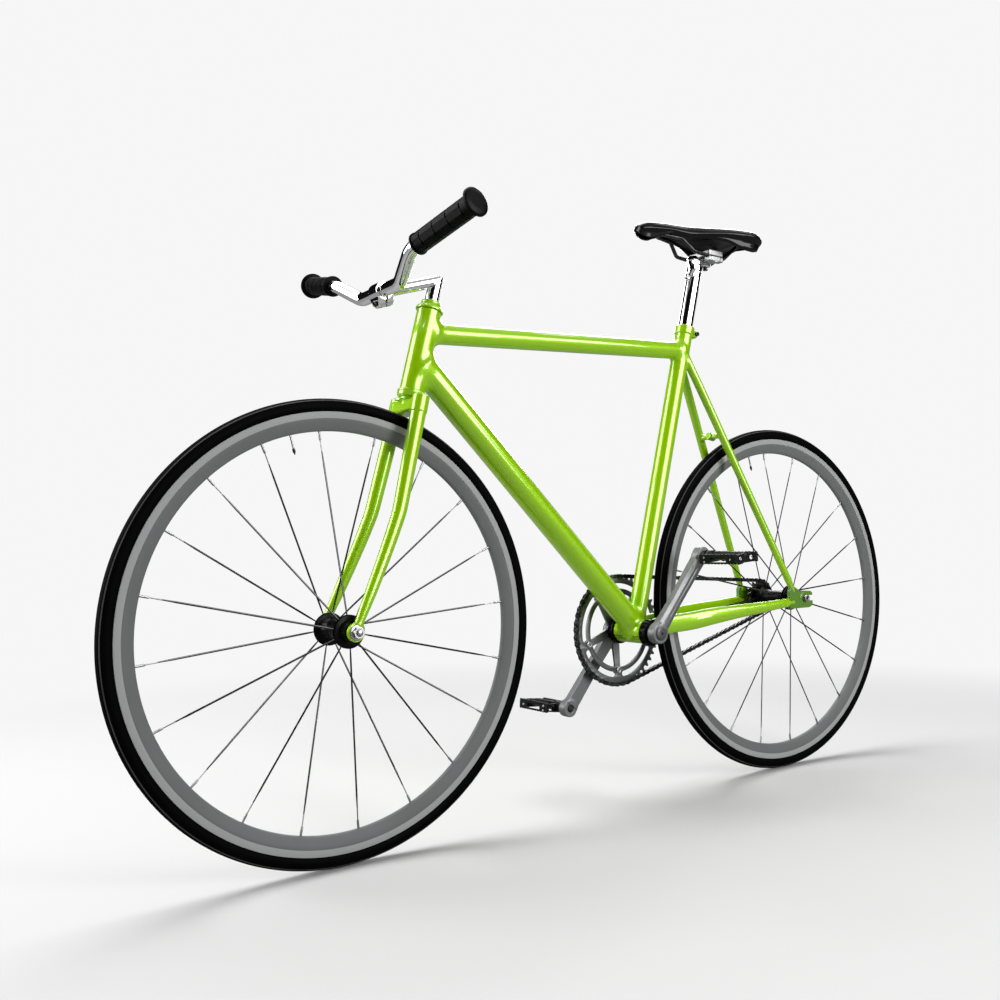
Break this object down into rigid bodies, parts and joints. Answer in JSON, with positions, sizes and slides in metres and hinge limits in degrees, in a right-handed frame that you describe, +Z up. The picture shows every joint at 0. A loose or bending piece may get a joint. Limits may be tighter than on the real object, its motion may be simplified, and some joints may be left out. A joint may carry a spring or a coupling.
{
  "type": "track bicycle",
  "caption": "Single speed track bicycle with a straight tubed frame, curved track handlebar, quill stem, deep rims with bladed spokes, caged pedals and a narrow racing saddle.",
  "frame": {"origin": "on the ground, midway between the two axles, in the plane of the wheels", "axes": "+X forwards from the rear axle to the front axle, +Y to the rider's left, +Z up"},
  "size_m": [1.629, 0.5162, 1.0446],
  "materials": {
    "lime_paint": "gloss",
    "chrome": "polished",
    "bright_steel": "bright",
    "grey_alloy": "brushed",
    "black_alloy": "anodised gloss",
    "black_steel": "blackened satin",
    "tyre_rubber": "matt",
    "grip_rubber": "satin",
    "black_leather": "glossy",
    "black_plastic": "satin"
  },
  "bodies": {
    "frame": {"frame": "lime_paint", "seat_clamp_bolt": "black_steel", "headset_cup_lower": "lime_paint", "headset_cup_upper": "lime_paint", "bottom_bracket_cup_left": "black_alloy", "bottom_bracket_cup_right": "black_alloy", "bottom_bracket_cartridge": "bright_steel", "rear_axle": "bright_steel", "rear_axle_bolt_left": "bright_steel", "rear_axle_bolt_right": "bright_steel", "chain": "black_steel"},
    "fork": {"fork": "lime_paint", "crown_race": "bright_steel", "headset_top_race": "lime_paint", "headset_locknut": "lime_paint", "front_axle": "bright_steel", "front_axle_nut_left": "bright_steel", "front_axle_nut_right": "bright_steel"},
    "stem": {"stem": "chrome", "stem_expander": "bright_steel", "stem_clamp_bolt": "black_steel"},
    "handlebar": {"handlebar": "chrome", "grip_left": "grip_rubber", "grip_right": "grip_rubber"},
    "front_wheel": {"front_tyre": "tyre_rubber", "front_rim": "grey_alloy", "front_valve": "bright_steel", "front_spokes": "bright_steel", "front_hub": "black_alloy", "front_hub_bearings": "bright_steel"},
    "rear_wheel": {"rear_tyre": "tyre_rubber", "rear_rim": "grey_alloy", "rear_valve": "bright_steel", "rear_spokes": "bright_steel", "rear_hub": "black_alloy", "rear_hub_bearings": "bright_steel", "rear_cog": "black_steel", "rear_lockring": "black_steel"},
    "crankset": {"crank_spindle": "bright_steel", "crank_arm_left": "grey_alloy", "crank_arm_right": "grey_alloy", "chainring": "grey_alloy", "chainring_bolt_1": "bright_steel", "chainring_bolt_2": "bright_steel", "chainring_bolt_3": "bright_steel", "chainring_bolt_4": "bright_steel", "chainring_bolt_5": "bright_steel", "crank_bolt_left": "black_steel", "crank_bolt_right": "black_steel", "pedal_axle_left": "bright_steel", "pedal_axle_right": "bright_steel"},
    "pedal_left": {"pedal_left": "black_alloy"},
    "pedal_right": {"pedal_right": "black_alloy"},
    "seatpost": {"seatpost": "chrome"},
    "saddle": {"saddle_cover": "black_leather", "saddle_base": "black_plastic", "saddle_rails": "black_steel", "saddle_clamp_lower": "bright_steel", "saddle_clamp_upper": "bright_steel", "saddle_clamp_bolt": "bright_steel"}
  },
  "joints": [
    {"name": "steering", "type": "hinge", "parent": "frame", "child": "fork", "pos_m": [0.35271, 0, 0.687], "axis": [-0.2587, 0, 0.966], "range_deg": [-80, 80]},
    {"name": "stem_height", "type": "slide", "parent": "fork", "child": "stem", "axis": [-0.2587, 0, 0.966], "range_m": [-0.01, 0.015]},
    {"name": "handlebar_roll", "type": "hinge", "parent": "stem", "child": "handlebar", "pos_m": [0.4039, 0, 0.8344], "axis": [0, 1, 0], "range_deg": [-30, 30]},
    {"name": "front_wheel_spin", "type": "hinge", "parent": "fork", "child": "front_wheel", "pos_m": [0.4805, 0, 0.334], "axis": [0, 1, 0], "continuous": true},
    {"name": "rear_wheel_spin", "type": "hinge", "parent": "frame", "child": "rear_wheel", "pos_m": [-0.4805, 0, 0.334], "axis": [0, 1, 0], "continuous": true, "deforming": ["chain"]},
    {"name": "crank_spin", "type": "hinge", "parent": "frame", "child": "crankset", "pos_m": [-0.094, 0, 0.2925], "axis": [0, 1, 0], "continuous": true, "deforming": ["chain"]},
    {"name": "pedal_left_spin", "type": "hinge", "parent": "crankset", "child": "pedal_left", "pos_m": [-0.19284, 0, 0.42462], "axis": [0, 1, 0], "continuous": true},
    {"name": "pedal_right_spin", "type": "hinge", "parent": "crankset", "child": "pedal_right", "pos_m": [0.00484, 0, 0.16038], "axis": [0, 1, 0], "continuous": true},
    {"name": "seatpost_height", "type": "slide", "parent": "frame", "child": "seatpost", "axis": [-0.2598, 0, 0.9657], "range_m": [-0.08, 0.035]},
    {"name": "saddle_tilt", "type": "hinge", "parent": "seatpost", "child": "saddle", "pos_m": [-0.3025, 0, 0.9868], "axis": [0, 1, 0], "range_deg": [-10, 10]}
  ],
  "couplings": [
    {"joint": "crank_spin", "follows": "rear_wheel_spin", "ratio": 0.33333}
  ]
}
